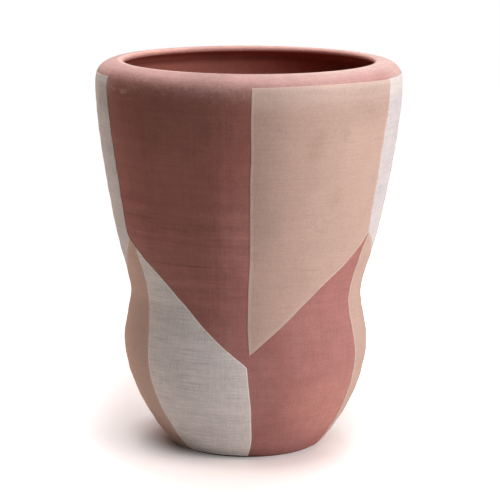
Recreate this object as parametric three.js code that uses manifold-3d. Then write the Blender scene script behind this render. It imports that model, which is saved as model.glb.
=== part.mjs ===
// Wide-mouthed terracotta vase: a thrown clay body with a full belly, a drawn-in waist
// and a rolled-in lip, and eight fields of coloured slip, brushed on between straight masked lines.
// The clay stays bare between them. Millimetres, +Z up. The origin is the centre of the foot,
// the front faces -Y, and angles turn from it to +X.

import * as THREE from 'three';
import { mergeVertices } from 'three/addons/utils/BufferGeometryUtils.js';
import Module from 'manifold-3d';

// Outside of the clay body, from the foot up to the rim
const HEIGHT = 320;
const FOOT_RADIUS = 54;
const BELLY_RADIUS = 99.5;
const BELLY_HEIGHT = 90;
const WAIST_RADIUS = 94;
const WAIST_RISE = 39; // from the belly up to the waist
const SHOULDER_RADIUS = 125;
const SHOULDER_DROP = 16; // from the rim down to the widest point

// Wall, floor and foot ring
const WALL = 9;
const FLOOR = 11;
const FLOOR_ROUND = 6; // run of the rounded corner between the floor and the wall
const FOOT_RING = 10; // width of the flat ring that the vase stands on
const FOOT_RECESS = 2.5;

// Lip, rolled in over the mouth
const LIP_WIDTH = 22.5; // from the widest point in to the edge of the mouth
const LIP_EDGE = 4; // thickness of the rounded edge at the mouth
const LIP_EDGE_ROUND = 3; // run of its rounding, above and below
const LIP_UNDERSIDE = 6; // height over which the underside of the lip runs back into the wall

// How full each curve is: the share of its own rise or run over which it keeps its end's direction
const HEEL_FULLNESS = 0.18;
const BELLY_FULLNESS_BELOW = 0.45;
const BELLY_FULLNESS_ABOVE = 0.33;
const WAIST_FULLNESS_BELOW = 0.2;
const WAIST_FULLNESS_ABOVE = 0.04;
const SHOULDER_FULLNESS_BELOW = 0.37;
const SHOULDER_FULLNESS_ABOVE = 0.78;
const RIM_FULLNESS = 0.54;
const UNDERSIDE_FULLNESS = 0.5;

// Slip fields
const SLIP = 0.5; // thickness of the dried slip
const CLEARANCE = 0.3; // between the slip and the clay, and between two fields side by side
const FIELD_TOP_DROP = 9.2; // from the rim down to the line where the fields begin
const FIELD_FOOT = 2.5; // height of the line where the fields end
const VALLEY_HEIGHT = 88.5; // of the zigzag line at its low corners
const LEFT_PEAK_HEIGHT = 180;
const RIGHT_PEAK_HEIGHT = 185.5;
const BACK_PEAK_HEIGHT = 183;
const TIP_GAP = 5.5; // bare clay between two fields that meet only corner to corner

// Upright masked lines: degrees from the front above the zigzag and at the foot, the height of the
// zigzag there, and the bare clay left between the fields above and below it.
const LINES = [
  { angle: 0.7, footAngle: 3.5, zigzag: VALLEY_HEIGHT, bare: TIP_GAP },
  { angle: 63.5, footAngle: 67, zigzag: RIGHT_PEAK_HEIGHT, bare: CLEARANCE },
  { angle: 122, footAngle: 122, zigzag: VALLEY_HEIGHT, bare: CLEARANCE },
  { angle: 181, footAngle: 181, zigzag: BACK_PEAK_HEIGHT, bare: TIP_GAP },
  { angle: 239.5, footAngle: 239.5, zigzag: VALLEY_HEIGHT, bare: CLEARANCE },
  { angle: 298, footAngle: 309, zigzag: LEFT_PEAK_HEIGHT, bare: CLEARANCE },
];

// Facets
const AROUND = 48;
const HEEL_ROWS = 9;
const BELLY_ROWS = 5;
const NECK_ROWS = 8;
const LIP_ROWS = 5;
const EDGE_ROWS = 3;
const MASK_COLUMNS = 12;
const MASK_ROWS = 12;
const MASK_REACH = 10; // how far a mask stands in and out of the surface that it cuts

const TERRACOTTA = '#b0706a';
const SAND = '#cfb09b';
const WHITE = '#ddd8d2';

const FIELDS = [
  { name: 'front_upper_sand_slip', colour: SAND, line: 0, upper: true },
  { name: 'right_upper_white_slip', colour: WHITE, line: 1, upper: true },
  { name: 'back_upper_sand_slip', colour: SAND, line: 3, upper: true },
  { name: 'left_upper_white_slip', colour: WHITE, line: 4, upper: true },
  { name: 'front_lower_white_slip', colour: WHITE, line: 5, upper: false },
  { name: 'right_lower_sand_slip', colour: SAND, line: 1, upper: false },
  { name: 'back_lower_white_slip', colour: WHITE, line: 2, upper: false },
  { name: 'left_lower_sand_slip', colour: SAND, line: 4, upper: false },
];

const { lerp, degToRad } = THREE.MathUtils;
const at = (radius, height) => new THREE.Vector2(radius, height);

// Points along a curve of the outline, each with the direction out of the clay.
function rowsAlong(curve, count) {
  return Array.from({ length: count + 1 }, (_, i) => {
    const along = curve.getTangent(i / count);
    return { point: curve.getPoint(i / count), out: at(along.y, -along.x) };
  });
}

// The outside of the body as four curves that leave the belly, the waist and the shoulder upright,
// and leave the foot and reach the rim level.
function outsideRows() {
  const foot = at(FOOT_RADIUS, 0);
  const belly = at(BELLY_RADIUS, BELLY_HEIGHT);
  const waist = at(WAIST_RADIUS, BELLY_HEIGHT + WAIST_RISE);
  const shoulder = at(SHOULDER_RADIUS, HEIGHT - SHOULDER_DROP);
  const rim = at(SHOULDER_RADIUS - LIP_WIDTH + LIP_EDGE_ROUND, HEIGHT);
  const neck = shoulder.y - waist.y;
  const heel = new THREE.CubicBezierCurve(
    foot,
    at(lerp(foot.x, belly.x, HEEL_FULLNESS), foot.y),
    at(belly.x, belly.y * (1 - BELLY_FULLNESS_BELOW)),
    belly,
  );
  const drawIn = new THREE.CubicBezierCurve(
    belly,
    at(belly.x, belly.y + WAIST_RISE * BELLY_FULLNESS_ABOVE),
    at(waist.x, waist.y - WAIST_RISE * WAIST_FULLNESS_BELOW),
    waist,
  );
  const flare = new THREE.CubicBezierCurve(
    waist,
    at(waist.x, waist.y + neck * WAIST_FULLNESS_ABOVE),
    at(shoulder.x, shoulder.y - neck * SHOULDER_FULLNESS_BELOW),
    shoulder,
  );
  const roll = new THREE.CubicBezierCurve(
    shoulder,
    at(shoulder.x, shoulder.y + SHOULDER_DROP * SHOULDER_FULLNESS_ABOVE),
    at(lerp(rim.x, shoulder.x, RIM_FULLNESS), rim.y),
    rim,
  );
  const wall = [
    ...rowsAlong(heel, HEEL_ROWS),
    ...rowsAlong(drawIn, BELLY_ROWS).slice(1),
    ...rowsAlong(flare, NECK_ROWS).slice(1),
  ];
  return { wall, roll: rowsAlong(roll, LIP_ROWS).slice(1) };
}

// Turns a closed outline about the axis, with the first column of facets at the front.
function turned(outline) {
  return new THREE.LatheGeometry(outline, AROUND).rotateX(Math.PI / 2);
}

const outside = outsideRows();

// Clay body: the outside, the lip's edge and underside, the inside a wall's thickness in,
// the floor and the foot ring.
function clayBody() {
  const mouth = SHOULDER_RADIUS - LIP_WIDTH;
  const lipBottom = HEIGHT - LIP_EDGE;
  const inside = outside.wall
    .map(({ point, out }) => at(point.x - WALL * out.x, point.y - FLOOR * out.y))
    .filter((point) => point.y > FLOOR + FLOOR_ROUND / 2 && point.y < lipBottom - LIP_UNDERSIDE)
    .reverse();
  const wallTop = at(inside[0].x, lipBottom - LIP_UNDERSIDE);
  const edgeMiddle = at(mouth, HEIGHT - LIP_EDGE / 2);
  const edgeAbove = new THREE.QuadraticBezierCurve(
    at(mouth + LIP_EDGE_ROUND, HEIGHT),
    at(mouth, HEIGHT),
    edgeMiddle,
  );
  const edgeBelow = new THREE.QuadraticBezierCurve(
    edgeMiddle,
    at(mouth, lipBottom),
    at(mouth + LIP_EDGE_ROUND, lipBottom),
  );
  const underside = new THREE.QuadraticBezierCurve(
    at(mouth + LIP_EDGE_ROUND, lipBottom),
    at(wallTop.x, wallTop.y + LIP_UNDERSIDE * UNDERSIDE_FULLNESS),
    wallTop,
  );
  const ring = FOOT_RADIUS - FOOT_RING;
  return turned([
    at(0, FOOT_RECESS),
    at(ring - FOOT_RECESS, FOOT_RECESS),
    at(ring, 0),
    ...outside.wall.map(({ point }) => point),
    ...outside.roll.map(({ point }) => point),
    ...edgeAbove.getPoints(EDGE_ROWS).slice(1),
    ...edgeBelow.getPoints(EDGE_ROWS).slice(1),
    ...underside.getPoints(LIP_ROWS).slice(1),
    ...inside,
    at(FOOT_RADIUS - FLOOR_ROUND, FLOOR),
    at(0, FLOOR),
  ]);
}

// The slip before it is masked: a thin closed sleeve that follows the outside, row by row, at the clearance.
function slipSleeve() {
  const rows = [...outside.wall.slice(1), ...outside.roll.slice(0, -1)];
  const shifted = ({ point, out }, distance) => point.clone().addScaledVector(out, distance);
  const inner = rows.map((row) => shifted(row, CLEARANCE)).reverse();
  const outer = rows.map((row) => shifted(row, CLEARANCE + SLIP));
  return turned([...outer, ...inner, outer[0]]);
}

// Radius of the outside at a height, between the rows of facets.
function radiusAt(height) {
  const rows = [...outside.wall, ...outside.roll];
  const next = Math.max(1, rows.findIndex(({ point }) => point.y >= height));
  const below = rows[next - 1].point;
  const above = rows[next].point;
  return lerp(below.x, above.x, (height - below.y) / (above.y - below.y));
}

// An upright line turns towards its place at the foot below the zigzag.
function lineAngle(line, height) {
  const share = Math.min(1, height / line.zigzag);
  return degToRad(lerp(line.footAngle, line.angle, share));
}

// A quad of a box face is two triangles. Splitting it along its other diagonal makes the two masks
// on either side of a line meet it with the same facets, so that the gap between them is even.
function swapDiagonals(box, group) {
  const { start, count } = box.groups[group];
  const index = box.index;
  for (let quad = start; quad < start + count; quad += 6) {
    const a = index.getX(quad);
    const b = index.getX(quad + 1);
    const d = index.getX(quad + 2);
    const c = index.getX(quad + 4);
    [a, b, c, a, c, d].forEach((vertex, i) => index.setX(quad + i, vertex));
  }
}

// Solid that keeps one field of the sleeve: a box bent round the vase between two upright lines,
// from the zigzag up to the shoulder line, or from the foot up to the zigzag.
function fieldMask({ line, upper }) {
  const left = LINES[line];
  const right = LINES[(line + 1) % LINES.length];
  const turn = line + 1 === LINES.length ? 2 * Math.PI : 0;
  const side = upper ? 0.5 : -0.5;
  const fieldTop = HEIGHT - FIELD_TOP_DROP;
  const box = new THREE.BoxGeometry(1, 1, 1, MASK_COLUMNS, MASK_ROWS, 1);
  const rightFace = 0;
  const topFace = 2;
  swapDiagonals(box, rightFace);
  swapDiagonals(box, topFace);
  const position = box.attributes.position;
  for (let i = 0; i < position.count; i++) {
    const across = position.getX(i) + 0.5;
    const up = position.getY(i) + 0.5;
    const zigzag = lerp(left.zigzag + side * left.bare, right.zigzag + side * right.bare, across);
    const height = upper ? lerp(zigzag, fieldTop, up) : lerp(FIELD_FOOT, zigzag, up);
    const angle = lerp(lineAngle(left, height), lineAngle(right, height) + turn, across);
    const radius = radiusAt(height) + 2 * MASK_REACH * position.getZ(i);
    const aside = CLEARANCE * (0.5 - across);
    position.setXYZ(
      i,
      radius * Math.sin(angle) + aside * Math.cos(angle),
      aside * Math.sin(angle) - radius * Math.cos(angle),
      height,
    );
  }
  return box;
}

const wasm = await Module();
wasm.setup();

function toSolid(geometry) {
  const bare = geometry.clone();
  bare.deleteAttribute('normal');
  bare.deleteAttribute('uv');
  const merged = mergeVertices(bare);
  return new wasm.Manifold(new wasm.Mesh({
    numProp: 3,
    vertProperties: new Float32Array(merged.attributes.position.array),
    triVerts: new Uint32Array(merged.index.array),
  }));
}

function toGeometry(solid) {
  const mesh = solid.getMesh();
  const geometry = new THREE.BufferGeometry();
  geometry.setAttribute('position', new THREE.BufferAttribute(mesh.vertProperties, 3));
  geometry.setIndex(new THREE.BufferAttribute(mesh.triVerts, 1));
  geometry.computeVertexNormals();
  return geometry;
}

function piece(name, geometry, colour, roughness) {
  const material = new THREE.MeshStandardMaterial({ color: colour, roughness, metalness: 0 });
  const mesh = new THREE.Mesh(geometry, material);
  mesh.name = name;
  return mesh;
}

const CLAY_ROUGHNESS = 0.85;
const SLIP_ROUGHNESS = 0.92;

const vase = new THREE.Group();
vase.name = 'terracotta_vase';
vase.add(piece('clay_body', clayBody(), TERRACOTTA, CLAY_ROUGHNESS));

const sleeve = toSolid(slipSleeve());
for (const field of FIELDS) {
  const slip = sleeve.intersect(toSolid(fieldMask(field)));
  vase.add(piece(field.name, toGeometry(slip), field.colour, SLIP_ROUGHNESS));
}

export default vase;
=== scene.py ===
"""Wide-mouthed terracotta vase with straight-edged fields of sand and white slip."""
import math

import bpy
import numpy as np
from mathutils import Matrix, Vector


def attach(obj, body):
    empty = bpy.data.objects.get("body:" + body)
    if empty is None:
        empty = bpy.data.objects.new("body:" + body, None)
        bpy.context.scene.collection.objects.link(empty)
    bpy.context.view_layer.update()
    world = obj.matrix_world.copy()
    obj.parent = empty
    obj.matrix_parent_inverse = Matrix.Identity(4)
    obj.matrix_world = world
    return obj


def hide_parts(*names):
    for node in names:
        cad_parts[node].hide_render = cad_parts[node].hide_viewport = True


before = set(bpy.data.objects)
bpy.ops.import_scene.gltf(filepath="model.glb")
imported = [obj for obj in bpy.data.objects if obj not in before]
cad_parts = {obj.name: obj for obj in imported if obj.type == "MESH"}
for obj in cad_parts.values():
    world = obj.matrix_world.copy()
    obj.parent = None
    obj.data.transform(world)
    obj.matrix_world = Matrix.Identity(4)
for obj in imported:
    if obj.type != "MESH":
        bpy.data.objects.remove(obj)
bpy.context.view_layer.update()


# Clay body
# Thrown in one piece from red earthenware, from the ring it stands on to the lip that is rolled in
# over the mouth, then fired once and left bare between the fields of slip. It is matte and a little
# blotched, with faint throwing rings and a pale bloom on the rim.

MM = 0.001

# Thickness of the wall and of the floor, and the height where the inside of the wall ends
WALL = 9 * MM
FLOOR = 11 * MM
WALL_END = 18 * MM


def curve(*points, count=60):
    """Curve from the first to the last of its control points, which are in millimetres, as points in
    metres: each control point is weighted by its Bernstein polynomial."""
    points = MM * np.array(points, dtype=float)
    power = np.arange(len(points))
    rest = power[::-1]
    share = np.linspace(0, 1, count)[:, None]
    ways = np.array([math.comb(len(points) - 1, k) for k in power])
    return (ways * share**power * (1 - share) ** rest) @ points


def distance_along(path):
    """Distance from the start of a path to each of its points, summed over its steps."""
    return np.concatenate([[0.0], np.cumsum(np.hypot(*np.diff(path, axis=0).T))])


def facing(path):
    """Direction out of the clay at each point of a path: its slope turned by a quarter."""
    run, rise = np.gradient(path, distance_along(path), axis=0).T
    return np.column_stack([rise, -run])


def joined(*paths):
    """Paths end to end as one, with each shared end point kept once."""
    return np.vstack([paths[0]] + [path[1:] for path in paths[1:]])


underneath = joined(
    curve((0, 2.5), (40.5, 2.5), count=20),
    curve((40.5, 2.5), (42.6, 2.5), (42.4, 0), (44.6, 0), count=20),
    curve((44.6, 0), (50.8, 0), count=10),
)
wall_outside = joined(
    curve((50.8, 0), (51.6, 0), (56.9, 1.3), (61, 4.5), count=60),
    curve((61, 4.5), (73.5, 14.5), (99.5, 57.4), (99.5, 90), count=400),
    curve((99.5, 90), (99.5, 102.9), (94, 121.2), (94, 129), count=160),
    curve((94, 129), (94, 136), (125, 239.2), (125, 304), count=600),
)
lip_outside = curve((125, 304), (125, 316.5), (116, 320), (105.5, 320), count=120)
lip = joined(
    lip_outside,
    curve((105.5, 320), (102.5, 320), (102.5, 317.5), count=20),
    curve((102.5, 317.5), (102.5, 315), (105.5, 315), count=20),
    curve((105.5, 315), (116, 312.5), (116, 309.5), count=60),
)
wall_inside = (wall_outside - facing(wall_outside) * (WALL, FLOOR))[::-1]
wall_inside = wall_inside[wall_inside[:, 1] > WALL_END]
corner = wall_inside[-1] / MM
level = FLOOR / MM
floor_inside = joined(
    curve(corner, (corner[0] - 4, level + 0.6), (50, level), (44, level), count=40),
    curve((44, level), (0, level), count=20),
)
outline = np.vstack([underneath, wall_outside[1:], lip[1:], wall_inside, floor_inside[1:]])
outline_way = distance_along(outline)
outline_facing = facing(outline)
foot_way = distance_along(underneath)[-1]
shoulder_way = foot_way + distance_along(wall_outside)[-1]
rim_way = shoulder_way + distance_along(lip_outside)[-1]
lip_way = shoulder_way + distance_along(lip)[-1]
floor_way = outline_way[-1] - distance_along(floor_inside)[-1]

# Throwing rings: height and pitch in millimetres, turns of phase in one round, and start of each wave
RINGS = np.array([
    (0.16, 61.0, 2, 0.4),
    (0.09, 26.0, 1, 2.1),
    (0.05, 12.6, 1, 5.0),
    (0.03, 8.1, 2, 1.3),
    (0.08, 17.0, -2, 0.15),
    (0.02, 5.2, 3, 3.7),
])

# How strongly the rings show at stations along the outline
RING_STATIONS = [
    (0, 0),
    (foot_way, 0),
    (foot_way + 12 * MM, 1),
    (shoulder_way, 1),
    (lip_way, 0.4),
    (lip_way + 20 * MM, 1.6),
    (floor_way, 1),
    (outline_way[-1], 0),
]

# Swells of the wall from the thrower's hand: rise, height on the vase and half width in millimetres
SWELLS = np.array([(0.9, 184, 20), (-0.65, 147, 13), (0.5, 124, 9), (0.5, 58, 20), (-0.45, 272, 16)])

# Lean of the settled clay, to the left about the waist and to the right at the lip
WAIST_LEAN, WAIST_LEVEL, WAIST_HALF = MM * np.array([-1.2, 108, 62])
LIP_LEAN, LIP_LEAN_START, LIP_LEAN_RISE = MM * np.array([0.9, 150, 170])
FOOT_UPRIGHT = 40 * MM


def turned(angle, way, lift=0.0):
    """Point of the clay at an angle from the front and a distance along the outline. The outline is
    turned about the axis, pushed out along its normal by a sum of sine waves for the throwing rings,
    by bell curves for the swells of the outer wall and by the lift. The whole leans by about a
    millimetre: a bell curve about the waist plus a smooth step up to the lip, from an upright foot."""
    radius, height = (np.interp(way, outline_way, outline[:, k]) for k in (0, 1))
    out, up = (np.interp(way, outline_way, outline_facing[:, k]) for k in (0, 1))
    tall, pitch, turns, start = RINGS[:, :, None, None].swapaxes(0, 1)
    waves = MM * tall * np.sin(2 * np.pi * way / (MM * pitch) + turns * angle + start)
    hand = np.interp(way, *zip(*RING_STATIONS))
    rise, level, half = MM * SWELLS[:, :, None, None].swapaxes(0, 1)
    swells = (rise * np.exp(-(((height - level) / half) ** 2))).sum(axis=0)
    push = hand * waves.sum(axis=0) + np.where(way < shoulder_way, swells, 0) + lift
    settled = WAIST_LEAN * np.exp(-(((height - WAIST_LEVEL) / WAIST_HALF) ** 2))
    risen = np.clip((height - LIP_LEAN_START) / LIP_LEAN_RISE, 0, 1)
    lean = settled + LIP_LEAN * risen**2 * (3 - 2 * risen)
    lean = lean * np.clip(height / FOOT_UPRIGHT, 0, 1)
    return np.stack(
        [
            (radius + out * push) * np.sin(angle) + lean,
            -(radius + out * push) * np.cos(angle),
            height + up * push,
        ],
        axis=-1,
    )


def put_piece(name, points, quads, triangles, finish, **marks):
    """A mesh object at the origin from arrays of points, four- and three-cornered faces, and values
    or vectors marked on its points."""
    mesh = bpy.data.meshes.new(name)
    corners = np.concatenate([quads.ravel(), triangles.ravel()]).astype(np.int32)
    sides = np.repeat([4, 3], [len(quads), len(triangles)]).astype(np.int32)
    mesh.vertices.add(len(points))
    mesh.vertices.foreach_set("co", points.astype(np.float32).ravel())
    mesh.loops.add(len(corners))
    mesh.loops.foreach_set("vertex_index", corners)
    mesh.polygons.add(len(sides))
    mesh.polygons.foreach_set("loop_start", (np.cumsum(sides) - sides).astype(np.int32))
    mesh.update(calc_edges=True)
    mesh.polygons.foreach_set("use_smooth", np.ones(len(sides), dtype=bool))
    for mark, values in marks.items():
        flat = values.ndim == 1
        kept = mesh.attributes.new(mark, "FLOAT" if flat else "FLOAT_VECTOR", "POINT")
        kept.data.foreach_set("value" if flat else "vector", values.astype(np.float32).ravel())
    mesh.materials.append(finish)
    piece = bpy.data.objects.new(name, mesh)
    bpy.context.scene.collection.objects.link(piece)
    return piece


class Wire:
    """A socket in a node tree. Sums, differences and products of wires add Math nodes to the tree,
    and node() adds any other node."""

    def __init__(self, tree, socket=None):
        self.tree = tree
        self.socket = socket

    def node(self, kind, settings, sockets, output=0):
        """Adds a node: its settings first, then the values or wires of its sockets."""
        made = self.tree.nodes.new(kind)
        for key, value in settings.items():
            setattr(made, key, value)
        for key, value in sockets.items():
            if isinstance(value, Wire):
                self.tree.links.new(value.socket, made.inputs[key])
            else:
                made.inputs[key].default_value = value
        return Wire(self.tree, made.outputs[output])

    def math(self, operation, first, second):
        """Adds a Math node on two values or wires."""
        return self.node("ShaderNodeMath", {"operation": operation}, {0: first, 1: second})

    def __add__(self, other):
        return self.math("ADD", self, other)

    def __sub__(self, other):
        return self.math("SUBTRACT", self, other)

    def __rsub__(self, other):
        return self.math("SUBTRACT", other, self)

    def __mul__(self, other):
        return self.math("MULTIPLY", self, other)

    __radd__ = __add__
    __rmul__ = __mul__


def new_finish(name, sheen_level):
    """A material with its Principled shader and a wire to start its nodes from."""
    finish = bpy.data.materials.new(name)
    finish.use_nodes = True
    shader = finish.node_tree.nodes["Principled BSDF"]
    shader.inputs["Specular IOR Level"].default_value = sheen_level
    return finish, shader, Wire(finish.node_tree)


def colour(code):
    """Linear red, green, blue and alpha of a six-digit display colour, by the display's power curve
    of 2.4 with its straight start."""
    shown = np.array([int(code[k:k + 2], 16) for k in (0, 2, 4)]) / 255
    linear = np.where(shown <= 0.04045, shown / 12.92, ((shown + 0.055) / 1.055) ** 2.4)
    return (*map(float, linear), 1.0)


def noise(vector, stretch, detail=3.0, roughness=0.55):
    """Cloud noise less a half, so about 0, on a vector that is multiplied by three factors."""
    long = vector.node("ShaderNodeVectorMath", {"operation": "MULTIPLY"}, {0: vector, 1: stretch})
    cloud = vector.node(
        "ShaderNodeTexNoise",
        {},
        {"Vector": long, "Scale": 1.0, "Detail": detail, "Roughness": roughness},
    )
    return cloud - 0.5


def band(value, low, high):
    """0 below low, 1 above high, and a smooth step between."""
    return value.node(
        "ShaderNodeMapRange",
        {"interpolation_type": "SMOOTHSTEP"},
        {"Value": value, "From Min": low, "From Max": high},
    )


def strip(value, rise, fall):
    """1 between a rise and a fall and 0 outside them. Each is a smooth step between two places in
    millimetres."""
    return band(value, rise[0] * MM, rise[1] * MM) - band(value, fall[0] * MM, fall[1] * MM)


def blend(share, first, second):
    """One colour going over to another: the second by its share and the first by the rest."""
    return share.node("ShaderNodeMix", {"data_type": "RGBA"}, {0: share, 6: first, 7: second}, 2)


def shaded(tint, level):
    """A colour made darker or lighter: multiplied by a level about 1."""
    return level.node("ShaderNodeVectorMath", {"operation": "SCALE"}, {0: tint, "Scale": level})


def bumped(shader, height, depth):
    """Fine relief on a shader's normal: the height multiplied by a depth."""
    relief = height.node("ShaderNodeBump", {}, {"Height": height, "Distance": depth, "Strength": 1.0})
    height.tree.links.new(relief.socket, shader.inputs["Normal"])


ROSE = colour("b67d77")
BROWN = colour("a3695f")
BLOTCH = colour("97594d")
BLOOM = colour("d0a39e")
# Pale of the rim, also used for the painted highlight along its top and inner edge
RIM = colour("e6c8c0")
# Painted colours: shade under the lip, bounce light low on the right, reflected light on the lip's inner
# face, the inner wall partly lightened with painted light, and its painted shaded side
UNDER_LIP_SHADE = colour("97574a")
ROSE_LOW_LIT = colour("c98c80")
LIP_INNER_LIT = colour("e0a79c")
INSIDE_LIT = colour("d58d7e")
INSIDE_SHADE = colour("87524a")

BROAD_RING_PITCH = 17 * MM
BROAD_RING_START = 203.2 * MM

clay, clay_shader, start = new_finish("bare terracotta", 0.12)
place = start.node("ShaderNodeTexCoord", {}, {}, "Object")
way_round = start.node("ShaderNodeAttribute", {"attribute_name": "turned"}, {}, "Vector")
side, height = (start.node("ShaderNodeSeparateXYZ", {}, {"Vector": place}, axis) for axis in "XZ")
way = start.node("ShaderNodeSeparateXYZ", {}, {"Vector": way_round}, "Z")
past_shoulder, past_rim, past_lip = (way - edge for edge in (shoulder_way, rim_way, lip_way))

# Marks of the clay: blotches from the kiln, mottling, speckle, dark specks and grain
blotch = noise(place, (16, 16, 13), detail=4.0)
mottle = noise(place, (85, 85, 70), detail=4.0, roughness=0.6)
speckle = noise(place, (330, 330, 330), detail=4.0, roughness=0.75)
specks = band(noise(place, (270, 270, 270), detail=1.0), 0.25, 0.32)
grain = noise(place, (650, 650, 650), detail=3.0, roughness=0.65)

# Marks of the wheel and the hand: level lines, broad rings painted as bands of light and shade, upright
# drags and level smears
level_rings = noise(way_round, (1.4, 1.4, 240), detail=4.0, roughness=0.7)
hair_lines = noise(way_round, (3, 3, 1300), detail=2.0)
# Broad rings: painted bands of light and shade in the tone, where the broad throwing rings would catch
# the light
turns = (height - BROAD_RING_START + 0.002 * blotch) * (2 * math.pi / BROAD_RING_PITCH)
broad_ring_shading = start.math("SINE", turns, 0) * strip(height, (172, 188), (228, 242))
drag = noise(way_round, (105, 105, 6), detail=3.0)
smear = noise(way_round, (14, 14, 170), detail=4.0, roughness=0.7)

# Rose flush from the middle to the right, with scratches on the waist beside it
flush = band(side + 0.02 * drag + 0.02 * smear, -31 * MM, -9 * MM)
flush = flush * (1 - 0.4 * band(height + 0.004 * drag, 187 * MM, 260 * MM))
waist = strip(height, (120, 150), (190, 230))
scratches = band(noise(way_round, (0.9, 0.9, 330), detail=2.0), 0.13, 0.2)
scratches = scratches * waist * (1 - 0.6 * flush)

# Pale bloom on the shoulder and the lip, paler towards its left and right ends, and a painted highlight
# along the top of the rim, weaker on the side away from the light, with a painted line of light at the
# inner edge on that side
bloom = past_shoulder + 0.02 * speckle + 0.006 * mottle + 0.012 * smear + 0.06 * side
bloom = band(bloom, -10 * MM, 14 * MM)
bloom = bloom * (0.85 + 0.15 * band(side, -110 * MM, -20 * MM) - 0.25 * band(side, 50 * MM, 110 * MM))
paler_ends = 1 - band(side, -122 * MM, -102 * MM) + band(side, 104 * MM, 122 * MM)
paler_ends = paler_ends * band(past_shoulder + 0.02 * speckle, -12 * MM, 5 * MM)
# Share of the lip on the side away from the light, for the painted highlight and the painted shade on it
unlit_side = 1 - band(side, -20 * MM, 85 * MM)
top = band(past_rim, -21 * MM, -1 * MM)
edge_line = band(past_rim, -2.5 * MM, -0.5 * MM)
rim_highlight = top * (0.75 - 0.5 * unlit_side) + 0.45 * edge_line * unlit_side

# Scuffs under the lip on the left
scuffs = band(noise(way_round, (9, 9, 260), detail=4.0, roughness=0.7), 0.0, 0.14)
scuffs = scuffs * strip(height, (294.5, 298.5), (302, 308)) * strip(side, (-115, -109), (-99, -90))
scuffs = scuffs * (1 - band(past_shoulder, 0, 2 * MM))

# Darker and lighter: the marks, painted shade on the left of the lip and on the wall under the lip, the
# worn waist, and a painted contact shadow at the foot, darker on the left and up to 20 mm
wall = 1 - band(past_shoulder, -25 * MM, -5 * MM)
worn = band(side, -60 * MM, -30 * MM) - flush
# Painted shade on the outer wall under the lip
shade_under_lip = strip(past_shoulder, (-60, -20), (0, 8))
# Painted contact shadow along the bottom few millimetres of the foot, darkest on the left
foot_contact_shadow = (1 - band(height, 2.4 * MM, 4.2 * MM)) * (0.86 - 0.64 * band(side, -6 * MM, 18 * MM))
tone = 1 + (0.22 + 0.4 * waist) * level_rings + 0.2 * hair_lines + 0.2 * drag * wall
tone = tone + 0.48 * grain + 0.3 * mottle + 0.034 * broad_ring_shading - 0.12 * specks - 0.2 * scratches
# Painted shade on the top of the lip on the side away from the light
tone = tone - 0.16 * (top - edge_line) * unlit_side * band(side, -110 * MM, -50 * MM)
tone = tone - 0.11 * shade_under_lip - 0.14 * band(height, 120 * MM, 160 * MM) * worn
tone = tone - foot_contact_shadow - 0.1 * (1 - band(height, 2 * MM, 20 * MM))

# Colour from the foot up, over the lip and down the inside
body_colour = blend(band(height + 0.07 * (1 - flush), 50 * MM, 320 * MM), ROSE, BROWN)
body_colour = blend(0.4 * band(blotch, -0.1, 0.2), body_colour, BLOTCH)
# Painted bounce light: the rose lighter low on the right
low_right_bounce = strip(height, (12, 30), (45, 85)) * band(side, 20 * MM, 60 * MM)
body_colour = blend(0.6 * low_right_bounce, body_colour, ROSE_LOW_LIT)
body_colour = blend(0.85 * bloom, body_colour, BLOOM)
body_colour = blend(0.43 * paler_ends, body_colour, RIM)
body_colour = blend(rim_highlight, body_colour, RIM)
# Painted reflected light on the lip's inner face, then painted shade under the lip
body_colour = blend(band(past_rim, 0.5 * MM, 3 * MM), body_colour, LIP_INNER_LIT)
body_colour = blend(band(past_rim, 4 * MM, 9 * MM), body_colour, UNDER_LIP_SHADE)
# Inner wall: the clay partly lightened with painted light, darker to the right with painted shade
inside = blend(band(side, 10 * MM, 90 * MM), INSIDE_LIT, INSIDE_SHADE)
body_colour = blend(band(past_lip, 1 * MM, 6 * MM), body_colour, inside)
body_colour = blend(0.3 * scuffs, body_colour, RIM)
body_colour = shaded(body_colour, tone)
start.tree.links.new(body_colour.socket, clay_shader.inputs["Base Color"])
rough = 0.86 + 0.2 * grain
start.tree.links.new(rough.socket, clay_shader.inputs["Roughness"])
bumped(clay_shader, 0.5 * level_rings + 0.3 * hair_lines + 0.5 * grain - 0.2 * scratches, 0.35 * MM)

COLUMNS = 240
rows = np.concatenate([
    np.linspace(0, foot_way, 14)[:-1],
    np.linspace(foot_way, shoulder_way, 274)[:-1],
    np.linspace(shoulder_way, rim_way, 24)[:-1],
    np.linspace(rim_way, lip_way, 22)[:-1],
    np.linspace(lip_way, floor_way, 56)[:-1],
    np.linspace(floor_way, outline_way[-1], 16),
])
angles = np.linspace(-np.pi, np.pi, COLUMNS, endpoint=False)
rings, spokes = np.meshgrid(rows[1:-1], angles, indexing="ij")
centres = turned(np.zeros((2, 1)), rows[[0, -1]][:, None])[:, 0]
points = np.vstack([turned(spokes, rings).reshape(-1, 3), centres])
around = np.vstack([
    np.column_stack([np.sin(spokes).ravel(), -np.cos(spokes).ravel(), rings.ravel()]),
    np.column_stack([np.zeros((2, 2)), rows[[0, -1]]]),
])
grid = np.arange(rings.size).reshape(rings.shape)
beside = np.roll(grid, -1, axis=1)
quads = np.stack([grid[:-1], beside[:-1], beside[1:], grid[1:]], axis=-1).reshape(-1, 4)
under_centre, floor_centre = rings.size, rings.size + 1
triangles = np.vstack([
    np.column_stack([np.full(COLUMNS, under_centre), beside[0], grid[0]]),
    np.column_stack([grid[-1], beside[-1], np.full(COLUMNS, floor_centre)]),
])
body = put_piece("thrown_body", points, quads, triangles, clay, turned=around)
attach(body, "root")
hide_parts("clay_body")


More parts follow.
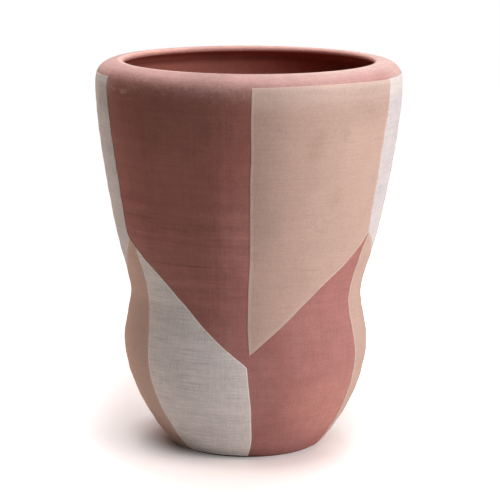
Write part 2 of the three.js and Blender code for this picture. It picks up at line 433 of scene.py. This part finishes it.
# Sand slip
# Four fields of sand-coloured liquid clay, brushed level on to the leather-hard body between strips
# of tape and fired with it: two over the zigzag line, two under it. A thin matte coat with faint
# brush lines, a little thicker where it ran against the tape.

SAND_COAT = 0.26 * MM

# Edge of a coat: its rounding, the ridge left by the tape, and how far it is sunk into the clay
EDGE_ROUND = 0.5 * MM
RIDGE_TALL, RIDGE_PLACE, RIDGE_HALF = 0.08 * MM, 0.9 * MM, 0.6 * MM
SUNK = 0.12 * MM

# How far the sand runs on under the white beside it and above it
LAP_ROUND = math.radians(0.4)
LAP_UP = 0.9 * MM

# Heights in millimetres of the slip's lower edge and of the upper end of its upright lines
SLIP_FOOT, SLIP_TOP = 3.0, 310.0


def upright(*stations):
    """Upright taped line: its angle from the front goes evenly between stations, each a height in
    millimetres and an angle in degrees, from the foot up."""
    heights, degrees = np.array(stations, dtype=float).T
    return lambda height: np.radians(np.interp(height, MM * heights, degrees))


def across(*stations):
    """Taped line across the vase: its height goes evenly between stations, each an angle in degrees
    and a height in millimetres, from the left."""
    degrees, heights = np.array(stations, dtype=float).T
    return lambda angle: MM * np.interp(angle, np.radians(degrees), heights)


EDGE_STEPS = MM * np.array([0, 0.15, 0.3, 0.45, 0.6, 0.8, 1.05, 1.4, 1.9, 2.6])


def spread(count):
    """Places across a strip: close steps at each end and even ones between. A place is its fixed
    part plus its share of the strip's length."""
    share = np.linspace(0, 1, count + 2)[1:-1]
    last = EDGE_STEPS[-1]
    fixed = np.concatenate([EDGE_STEPS, last * (1 - 2 * share), -EDGE_STEPS[::-1]])
    part = np.concatenate([0 * EDGE_STEPS, share, 0 * EDGE_STEPS + 1])
    return fixed, part


outside_part = (outline_way >= foot_way) & (outline_way <= rim_way)
outside_heights = outline[outside_part, 1]
outside_radii = outline[outside_part, 0]
outside_ways = outline_way[outside_part]

# Width of a usual field, and the height and the rounds for finding where its lines meet
USUAL_WIDTH = 110 * MM
USUAL_HEIGHT = 100 * MM
MEETING_ROUNDS = 40


def put_slip(name, node, finish, coat, left, right, low, high, columns=44, rows=120):
    """A closed skin of slip between two upright lines and two lines across. Where these meet is found
    in rounds, each going halfway from one guess to the next. The outer face is the clay's, lifted by
    the coat's thickness, which rounds off into the clay at the edge as a quarter circle and has a
    ridge beside it as a bell curve. The inner face lies just under the clay's."""
    fixed, part = spread(columns)
    share = fixed / USUAL_WIDTH + part
    edge_ways = []
    for line in (low, high):
        start, end = left(USUAL_HEIGHT), right(USUAL_HEIGHT)
        angle = start + share * (end - start)
        for _ in range(MEETING_ROUNDS):
            start, end = left(line(angle)), right(line(angle))
            angle = 0.5 * angle + 0.5 * (start + share * (end - start))
        edge_ways.append(np.interp(line(angle), outside_heights, outside_ways))
    low_way, high_way = edge_ways
    row_fixed, row_part = spread(rows)
    way = low_way + row_fixed[:, None] + row_part[:, None] * (high_way - low_way)
    height = np.interp(way, outside_ways, outside_heights)
    radius = np.interp(way, outside_ways, outside_radii)
    start, end = left(height), right(height)
    width = (end - start) * radius
    along = fixed + part * width
    angle = start + along / radius
    low_lean, high_lean = (
        1 / np.hypot(1, np.gradient(line, share * USUAL_WIDTH)) for line in (low_way, high_way)
    )
    edge = np.minimum.reduce([
        along,
        width - along,
        (way - low_way) * low_lean,
        (high_way - way) * high_lean,
    ])
    rounding = np.sqrt(1 - (1 - np.clip(edge / EDGE_ROUND, 0, 1)) ** 2)
    ridge = RIDGE_TALL * np.exp(-(((edge - RIDGE_PLACE) / RIDGE_HALF) ** 2))
    outer = turned(angle, way, (coat + SUNK) * rounding + ridge - SUNK)
    inner = turned(angle, way, -2.5 * SUNK)
    inside = np.zeros(way.shape, dtype=bool)
    inside[1:-1, 1:-1] = True
    face = np.arange(way.size).reshape(way.shape)
    back = face.copy()
    back[inside] = way.size + np.arange(inside.sum())
    quads = [
        np.stack([k[:-1, :-1], k[:-1, 1:], k[1:, 1:], k[1:, :-1]], axis=-1).reshape(-1, 4)
        for k in (face, back)
    ]
    quads = np.vstack([quads[0], quads[1][:, ::-1]])
    points = np.vstack([outer.reshape(-1, 3), inner[inside]])
    marks = np.stack([np.sin(angle), -np.cos(angle), way], axis=-1)
    marks = np.vstack([marks.reshape(-1, 3), marks[inside]])
    margin = np.concatenate([edge.ravel(), edge[inside]])
    piece = put_piece(
        name, points, quads, np.zeros((0, 3), dtype=int), finish, turned=marks, edge=margin / MM
    )
    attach(piece, "root")
    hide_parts(node)
    return piece


# Painted dark line of shade where a coat's edge meets the clay
EDGE_SHADE = colour("6f463d")
SMUDGE = colour("ac8872")


def away_from(place, centre, stretch=(1, 1, 1)):
    """Distance in metres of a place from a centre, which is given in millimetres: the length of the
    step between them, with each axis multiplied by a factor first."""
    oval = place.node("ShaderNodeVectorMath", {"operation": "MULTIPLY"}, {0: place, 1: stretch})
    middle = tuple(MM * part * factor for part, factor in zip(centre, stretch))
    return place.node("ShaderNodeVectorMath", {"operation": "DISTANCE"}, {0: oval, 1: middle}, "Value")


def slip_finish(
    name, tint, thin_tint, edge_tint, lines, cover, pale_width, pale_share,
    rim_share=0.0, lip_shade=0.0, side_shade=0.0, smudges=(),
):
    """Brushed slip: a colour blended with the thin coat's where the brush lines leave it thin, with the
    edge's over a width in millimetres, partly a coat thicker against the tape and partly a painted
    highlight on its ridge, and at the upper end, with a painted line of shade where it meets the clay and
    with smudges, each a centre, a reach and a share. It is then multiplied by a tone: 1 plus brush lines,
    clouds and grain, less painted shade under the lip and on the left of the field, plus painted bounce
    light low down, and with a painted contact shadow at the left of the foot."""
    finish, shader, start = new_finish(name, 0.1)
    place = start.node("ShaderNodeTexCoord", {}, {}, "Object")
    way_round = start.node("ShaderNodeAttribute", {"attribute_name": "turned"}, {}, "Vector")
    margin = start.node("ShaderNodeAttribute", {"attribute_name": "edge"}, {}, "Fac")
    side, depth, height = (start.node("ShaderNodeSeparateXYZ", {}, {"Vector": place}, k) for k in "XYZ")
    forward = 0 - depth
    past_shoulder = start.node("ShaderNodeSeparateXYZ", {}, {"Vector": way_round}, "Z") - shoulder_way

    bands = noise(way_round, (1.0, 1.0, 95), detail=2.0)
    brush = noise(way_round, (2.4, 2.4, 460), detail=5.0, roughness=0.75)
    hair = noise(way_round, (5, 5, 1000), detail=2.0)
    weave = noise(way_round, (170, 170, 90), detail=2.0)
    cloud = noise(place, (30, 30, 30), detail=4.0)
    clouded = band(noise(place, (34, 34, 48), detail=5.0, roughness=0.6), 0.1, 0.2)
    patch = noise(place, (150, 150, 190), detail=4.0, roughness=0.7)
    specks = band(noise(place, (270, 270, 270), detail=1.0), 0.25, 0.32)
    grain = noise(place, (650, 650, 650), detail=3.0, roughness=0.65)

    thin = band(0.3 * cloud - 0.7 * brush - 0.15 * patch - 0.6 * hair, 0.0, 0.32)
    coat = blend(thin * (1 - cover), tint, thin_tint)
    # Pale edge: partly the coat thicker against the tape, partly a painted highlight on its ridge
    pale_edge_highlight = band(margin, 0.2, 0.5) - band(margin, 0.5 + 0.6 * pale_width, 0.5 + 1.4 * pale_width)
    coat = blend(pale_edge_highlight * pale_share, coat, edge_tint)
    coat = blend(rim_share * band(past_shoulder + 0.01 * patch, -14 * MM, 0), coat, edge_tint)
    # Painted line of shade at the very edge of the coat
    coat = blend(0.5 - 0.5 * band(margin, 0.05, 0.3), coat, EDGE_SHADE)
    for centre, reach, share in smudges:
        smudge = 1 - band(away_from(place, centre), 0.1 * reach * MM, reach * MM)
        coat = blend(share * smudge, coat, SMUDGE)

    strokes = 0.6 * bands + 0.7 * brush + 1.7 * hair + 1.5 * weave + 0.4 * patch
    # Painted shade: on the left of the field away from the light, and under the lip at the left and the
    # right
    left_shade = strip(height, (165, 205), (286, 300)) * (1 - band(side, 4 * MM, 40 * MM))
    left_shade = left_shade * band(forward, 0, 50 * MM)
    under_lip_left = strip(height, (272, 294), (303, 308)) * strip(side, (-122.5, -118), (-50, 0))
    under_lip_left = under_lip_left * band(forward, 5 * MM, 35 * MM)
    under_lip_right = strip(height, (268, 288), (304, 310)) * band(side, 70 * MM, 100 * MM)
    # Painted bounce light low on the front of the field, and a painted contact shadow at the left of the
    # foot
    low_bounce_light = strip(height, (6, 12), (16, 30)) * strip(side, (-45, -30), (0, 10))
    slip_foot_shadow = 1 - band(height + 0.5 * side, -25 * MM, 0)
    tone = 1 + lines * strokes + 0.25 * cloud + 0.32 * grain - 0.07 * clouded - 0.1 * specks
    tone = tone - lip_shade * (band(past_shoulder, -130 * MM, -10 * MM) + 3 * under_lip_left)
    tone = tone - side_shade * (left_shade + 0.7 * under_lip_right)
    tone = tone + 0.1 * low_bounce_light - 0.6 * slip_foot_shadow
    coat = shaded(coat, tone)
    start.tree.links.new(coat.socket, shader.inputs["Base Color"])
    rough = 0.9 + 0.15 * grain
    start.tree.links.new(rough.socket, shader.inputs["Roughness"])
    bumped(shader, 0.4 * brush + 0.3 * hair + 0.4 * grain + 0.3 * patch, 0.3 * MM)
    return finish


# Upright edges of the tape, from the front round to the right, the back and the left
front_line = upright(
    (93, 1.6), (102, 1.3), (116, 0.85), (145, 0.9), (170, 1.2), (238, 0.6), (256, 0.9), (285, 0.6),
    (SLIP_TOP, 0.9)
)
right_line = upright((185.5, 64.7), (205, 63.0), (225, 62.3), (255, 62.2), (285, 63.2), (304, 64.0))
right_foot_line = upright(
    (24, 66.6), (34, 65.2), (52, 63.5), (61, 63.8), (74, 63.7), (85, 63.2), (100, 62.0), (115, 61.3),
    (160, 61.2), (174, 61.9), (185.5, 64.7)
)
second_line = upright((SLIP_FOOT, 122), (SLIP_TOP, 122))
back_line = upright((SLIP_FOOT, 181), (SLIP_TOP, 181))
fourth_line = upright((SLIP_FOOT, -120.5), (SLIP_TOP, -120.5))
left_line = upright((180, -61.8), (186, -63.0), (215, -63.0), (250, -63.1), (280, -64.3), (304, -65.2))
left_foot_line = upright(
    (14, -49.1), (28, -50.4), (45, -52.1), (70, -52.4), (90, -51.7), (103, -52.3), (117, -53.8),
    (128, -55.6), (145, -55.4), (161, -56.8), (174, -58.0), (180, -61.8)
)

# Edges of the tape along the zigzag
front_rise = across(
    (1.4, 93.3), (10, 105.8), (24.3, 125.0), (39.6, 147.2), (50.3, 162.2), (57.5, 173.5), (64.7, 185.5)
)
right_fall = across((64.7, 185.5), (73.5, 175.5), (82.3, 161.5), (122, 88.5))
back_fall = across((181, 183), (239.5, 88.5))
left_rise = across((-120.5, 88.5), (-74.2, 157), (-61.8, 180))

SAND = colour("cba99b")
SAND_THIN = colour("b98a7d")
# Pale of the edge and the upper end; at the edge partly a painted highlight on its ridge
SAND_EDGE = colour("d9beb1")

# Smudges on the front field: centre and reach in millimetres, and share
SMUDGES = [
    ((55.5, -106.5, 271), 11, 0.25),
    ((51.5, -108, 260), 13, 0.32),
    ((71.6, -93.8, 220), 15, 0.25),
]

sand = slip_finish(
    "sand slip", SAND, SAND_THIN, SAND_EDGE,
    lines=0.07, cover=0.75, pale_width=2.2, pale_share=0.4, rim_share=0.6, side_shade=0.14, smudges=SMUDGES,
)
level_top = across(
    (-180, 311), (-80, 311), (-62, 311.7), (0, 310.9), (15, 311.6), (30, 312.1), (45, 311.8), (60, 310.9),
    (240, 310.6)
)
level_foot = across((-180, SLIP_FOOT), (240, SLIP_FOOT))


def beyond(line, step):
    """A taped line moved on by a step, in radians for an upright line and metres for one across."""
    return lambda place: line(place) + step


put_slip(
    "front_upper_sand", "front_upper_sand_slip", sand, SAND_COAT,
    front_line, beyond(right_line, LAP_ROUND), front_rise, level_top,
)
put_slip(
    "back_upper_sand", "back_upper_sand_slip", sand, SAND_COAT,
    back_line, beyond(fourth_line, 2 * np.pi + LAP_ROUND), back_fall, level_top,
)
put_slip(
    "right_lower_sand", "right_lower_sand_slip", sand, SAND_COAT,
    right_foot_line, beyond(second_line, LAP_ROUND), level_foot, beyond(right_fall, LAP_UP),
)
put_slip(
    "left_lower_sand", "left_lower_sand_slip", sand, SAND_COAT,
    fourth_line, beyond(left_foot_line, LAP_ROUND), level_foot, beyond(left_rise, LAP_UP),
)


# White slip
# Four fields of chalky white liquid clay, brushed on after the sand ones in the same way, again
# two over the zigzag and two under it. The coat is thin, so level brush lines show grey and rose.

WHITE_COAT = 0.34 * MM
WHITE = colour("e8dad5")
WHITE_WORN = colour("d9cdcc")
WHITE_THIN = colour("c6b5ae")
# Pale of the edge and the upper end; at the edge partly a painted highlight on its ridge
WHITE_EDGE = colour("f4e9df")

front_foot_line = upright(
    (5, 1.6), (14, 3.0), (21, 3.3), (35, 2.85), (50, 2.5), (60, 1.9), (70, 1.35), (80, 0.9), (88, 0.5)
)
front_fall = across(
    (-61.8, 179.6), (-54, 168.8), (-44, 153.5), (-34.7, 138), (-20.9, 116), (-10, 100), (-3.5, 91.0),
    (-0.9, 87.6), (0.6, 84.5)
)
back_rise = across((122, 88.5), (181, 183))

white = slip_finish(
    "white slip", WHITE, WHITE_THIN, WHITE_EDGE,
    lines=0.28, cover=0.65, pale_width=0.9, pale_share=0.8,
)
worn_white = slip_finish(
    "worn white slip", WHITE_WORN, WHITE_THIN, WHITE_EDGE,
    lines=0.13, cover=0.75, pale_width=0.9, pale_share=0.15, rim_share=0.4, lip_shade=0.06,
)
put_slip(
    "right_upper_white", "right_upper_white_slip", worn_white, WHITE_COAT,
    right_line, second_line, right_fall, level_top,
)
put_slip(
    "left_upper_white", "left_upper_white_slip", worn_white, WHITE_COAT,
    fourth_line, left_line, left_rise, level_top,
)
put_slip(
    "front_lower_white", "front_lower_white_slip", white, WHITE_COAT,
    left_foot_line, front_foot_line, level_foot, front_fall,
)
put_slip(
    "back_lower_white", "back_lower_white_slip", white, WHITE_COAT,
    second_line, back_line, level_foot, back_rise,
)


# Floor
# A plain matte white sheet under the vase, wide enough to fill the picture. To the camera it glows
# white up to the edge of the soft shadow, and it gives no more light to the vase than paper would.

SHEET_HALF = 9.0
PAPER = (0.95, 0.95, 0.95, 1)
# Colour the camera sees on the paper: warmer than white, a painted warm light in the shadow
PAPER_SEEN = (1.0, 0.82, 0.777, 1)
NO_GLOW = (0, 0, 0, 1)
FULL_GLOW = (1, 1, 1, 1)

# Ovals about the vase that the glow fades in from: centre in millimetres, stretch from front to back,
# ends of the fade in millimetres, and share of the glow
FADES = [
    ((4, -2, 0), 0.745, 60, 96, 0.105),
    ((-15.5, 39, 0), 0.82, 53, 92, 0.323),
    ((-14.5, 194.5, 0), 0.2575, 78, 171, 0.572),
]


def seen_ray(start):
    """1 for what the camera sees, straight, in a reflection or through a piece, and 0 for what lights
    the vase: the greatest of the three marks of a ray."""
    camera, glossy, through = (
        start.node("ShaderNodeLightPath", {}, {}, f"Is {kind} Ray")
        for kind in ("Camera", "Glossy", "Transmission")
    )
    return start.math("MAXIMUM", start.math("MAXIMUM", camera, glossy), through)


corners = SHEET_HALF * np.array([(-1, -1, 0), (1, -1, 0), (1, 1, 0), (-1, 1, 0)], dtype=float)
paper, paper_shader, start = new_finish("white paper", 0.0)
seen = seen_ray(start)
paper_colour = blend(seen, PAPER, PAPER_SEEN)
start.tree.links.new(paper_colour.socket, paper_shader.inputs["Base Color"])
place = start.node("ShaderNodeTexCoord", {}, {}, "Object")
bright = sum(
    share * band(away_from(place, centre, (1, stretch, 1)), inner * MM, outer * MM)
    for centre, stretch, inner, outer, share in FADES
)
glow = blend(seen * bright, NO_GLOW, FULL_GLOW)
start.tree.links.new(glow.socket, paper_shader.inputs["Emission Color"])
paper_shader.inputs["Emission Strength"].default_value = 1.0
paper_shader.inputs["Roughness"].default_value = 1.0
sheet = put_piece("floor", corners, np.array([[0, 1, 2, 3]]), np.zeros((0, 3), dtype=int), paper)


# Light
# A big soft window on the right in three parts, three soft panels overhead, and two low warm ones
# behind on the left. The surroundings are white to the camera and give the vase no light.

world = bpy.data.worlds.new("white room")
bpy.context.scene.world = world
world.use_nodes = True
start = Wire(world.node_tree)
strength = seen_ray(start)
start.tree.links.new(strength.socket, world.node_tree.nodes["Background"].inputs["Strength"])
world.node_tree.nodes["Background"].inputs["Color"].default_value = (1, 1, 1, 1)


def softbox(name, place, aim, width, depth, watts, tint=(1, 1, 1)):
    """A rectangular lamp at a place, turned to face a point and hidden from the camera."""
    lamp = bpy.data.lights.new(name, "AREA")
    lamp.shape = "RECTANGLE"
    lamp.size, lamp.size_y = width, depth
    lamp.energy = watts
    lamp.color = tint
    holder = bpy.data.objects.new(name, lamp)
    holder.matrix_world = Matrix.Translation(place) @ (
        (Vector(aim) - Vector(place)).to_track_quat("-Z", "Y").to_matrix().to_4x4()
    )
    holder.visible_camera = False
    bpy.context.scene.collection.objects.link(holder)


softbox("window", (1.48, -0.96, 0.53), (0, 0, 0.16), 1.3, 0.6, 13.8)
softbox("window_low", (1.72, -0.53, 0.245), (0, 0, 0.16), 1.2, 0.48, 4.4)
softbox("window_side", (1.79, 0.16, 0.245), (0, 0, 0.16), 0.8, 0.48, 6.2)
softbox("overhead", (0, 0, 1.0), (0, 0, 0), 0.5, 0.5, 4.8)
softbox("overhead_left", (-0.4, -0.05, 1.0), (-0.2, 0, 0), 0.5, 0.5, 1.0)
softbox("overhead_front", (0.25, -0.35, 1.0), (0.12, -0.17, 0), 0.5, 0.5, 2.1)
softbox("left_wall", (-0.92, 0.92, 0.06), (0, 0, 0.16), 0.7, 0.1, 2.2, (1, 0.8, 0.78))
softbox("left_glow", (-1.18, 0.55, 0.06), (0, 0, 0.16), 0.7, 0.1, 3.35, (1, 0.83, 0.6))


# Camera
# A long lens two and a half metres in front of the vase, looking down on it by ten degrees and
# rolled by a quarter of a degree, as the photograph is.

LENS = 216.0
SENSOR = 36.0
TARGET_HEIGHT = 160 * MM
DISTANCE = 2.4696
ELEVATION = math.radians(9.94)
AIM = Vector((2.3 * MM, 0, TARGET_HEIGHT + 2.4 * MM))
ROLL = math.radians(0.25)

lens = bpy.data.cameras.new("camera")
lens.lens = LENS
lens.sensor_width = SENSOR
lens.clip_start, lens.clip_end = 0.05, 60
camera = bpy.data.objects.new("camera", lens)
stand = Vector((0, -math.cos(ELEVATION), math.sin(ELEVATION))) * DISTANCE
stand.z += TARGET_HEIGHT
look = (AIM - stand).to_track_quat("-Z", "Y").to_matrix().to_4x4()
camera.matrix_world = Matrix.Translation(stand) @ look @ Matrix.Rotation(ROLL, 4, "Z")
bpy.context.scene.collection.objects.link(camera)
bpy.context.scene.camera = camera
bpy.context.scene.view_settings.view_transform = "Standard"
